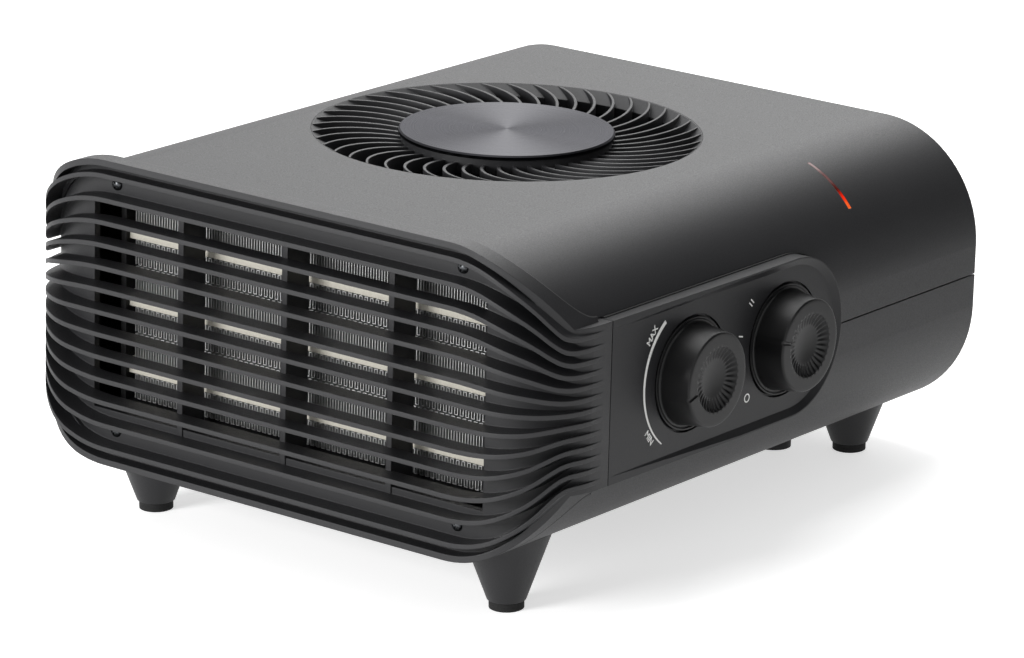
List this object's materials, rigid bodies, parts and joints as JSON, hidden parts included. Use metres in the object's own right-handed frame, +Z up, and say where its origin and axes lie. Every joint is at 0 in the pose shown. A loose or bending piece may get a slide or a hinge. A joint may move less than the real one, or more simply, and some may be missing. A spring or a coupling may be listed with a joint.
{
  "type": "ceramic fan heater",
  "caption": "Low black fan heater with a ribbed wrap-round outlet, a round swirl inlet on top, side thermostat and power knobs, and raised feet.",
  "frame": {"origin": "under the middle of the whole object, on the floor that it stands on", "axes": "-Y is the hot-air outlet, +X is the side with the knobs, +Z is up"},
  "size_m": [0.2678, 0.2806, 0.1464],
  "materials": {
    "case_plastic": "fine spark-eroded texture",
    "panel_plastic": "fine spark-eroded texture",
    "knob_plastic": "satin moulded",
    "spun_metal": "spun, dark anodised",
    "pilot_red": "clear red lens",
    "rubber": "matte",
    "steel": "zinc plated",
    "cream_ceramic": "bare ceramic element casing",
    "aluminium": "mill finish",
    "motor_steel": "plated can",
    "inner_plastic": "plain moulded"
  },
  "bodies": {
    "case": {"bottom_cover": "case_plastic", "case_screw_1": "steel", "case_screw_2": "steel", "control_panel": "panel_plastic", "cord_gland": "rubber", "foot_front_left": "case_plastic", "foot_front_right": "case_plastic", "foot_rear_left": "case_plastic", "foot_rear_right": "case_plastic", "front_grille": "case_plastic", "grille_screw_1": "steel", "grille_screw_2": "steel", "grille_screw_3": "steel", "grille_screw_4": "steel", "heater_bar_1": "cream_ceramic", "heater_bar_2": "cream_ceramic", "heater_bar_3": "cream_ceramic", "heater_fins": "aluminium", "heater_frame": "inner_plastic", "heater_terminal_1": "steel", "heater_terminal_2": "steel", "heater_terminal_3": "steel", "inlet_cap": "spun_metal", "inlet_grille": "case_plastic", "motor_body": "motor_steel", "pad_front_left": "rubber", "pad_front_right": "rubber", "pad_rear_left": "rubber", "pad_rear_right": "rubber", "pilot_lens": "pilot_red", "power_switch": "inner_plastic", "scroll_cover": "inner_plastic", "scroll_housing": "inner_plastic", "side_panel": "panel_plastic", "terminal_block": "inner_plastic", "thermal_cutout": "aluminium", "thermostat_body": "inner_plastic", "tip_switch": "inner_plastic", "top_cover": "case_plastic"},
    "thermostat": {"thermostat_knob": "knob_plastic", "thermostat_shaft": "steel"},
    "power": {"power_knob": "knob_plastic", "power_shaft": "steel"},
    "fan": {"impeller": "inner_plastic", "motor_shaft": "steel"},
    "plunger": {"tip_plunger": "inner_plastic"}
  },
  "joints": [
    {"name": "thermostat_turn", "type": "hinge", "parent": "case", "child": "thermostat", "pos_m": [0.1217, -0.05081, 0.08406], "axis": [1, 0, 0], "range_deg": [-74, 48]},
    {"name": "power_turn", "type": "hinge", "parent": "case", "child": "power", "pos_m": [0.1217, 0.00785, 0.08186], "axis": [1, 0, 0], "range_deg": [-30, 60]},
    {"name": "fan_spin", "type": "hinge", "parent": "case", "child": "fan", "pos_m": [-0.0159, 0.01334, 0.05754], "axis": [0, 0.0375, 0.9993], "continuous": true},
    {"name": "plunger_slide", "type": "slide", "parent": "case", "child": "plunger", "axis": [0, -0.0375, -0.9993], "range_m": [0, 0.006], "stiffness_N_per_m": 150, "springref_m": 0.006}
  ]
}
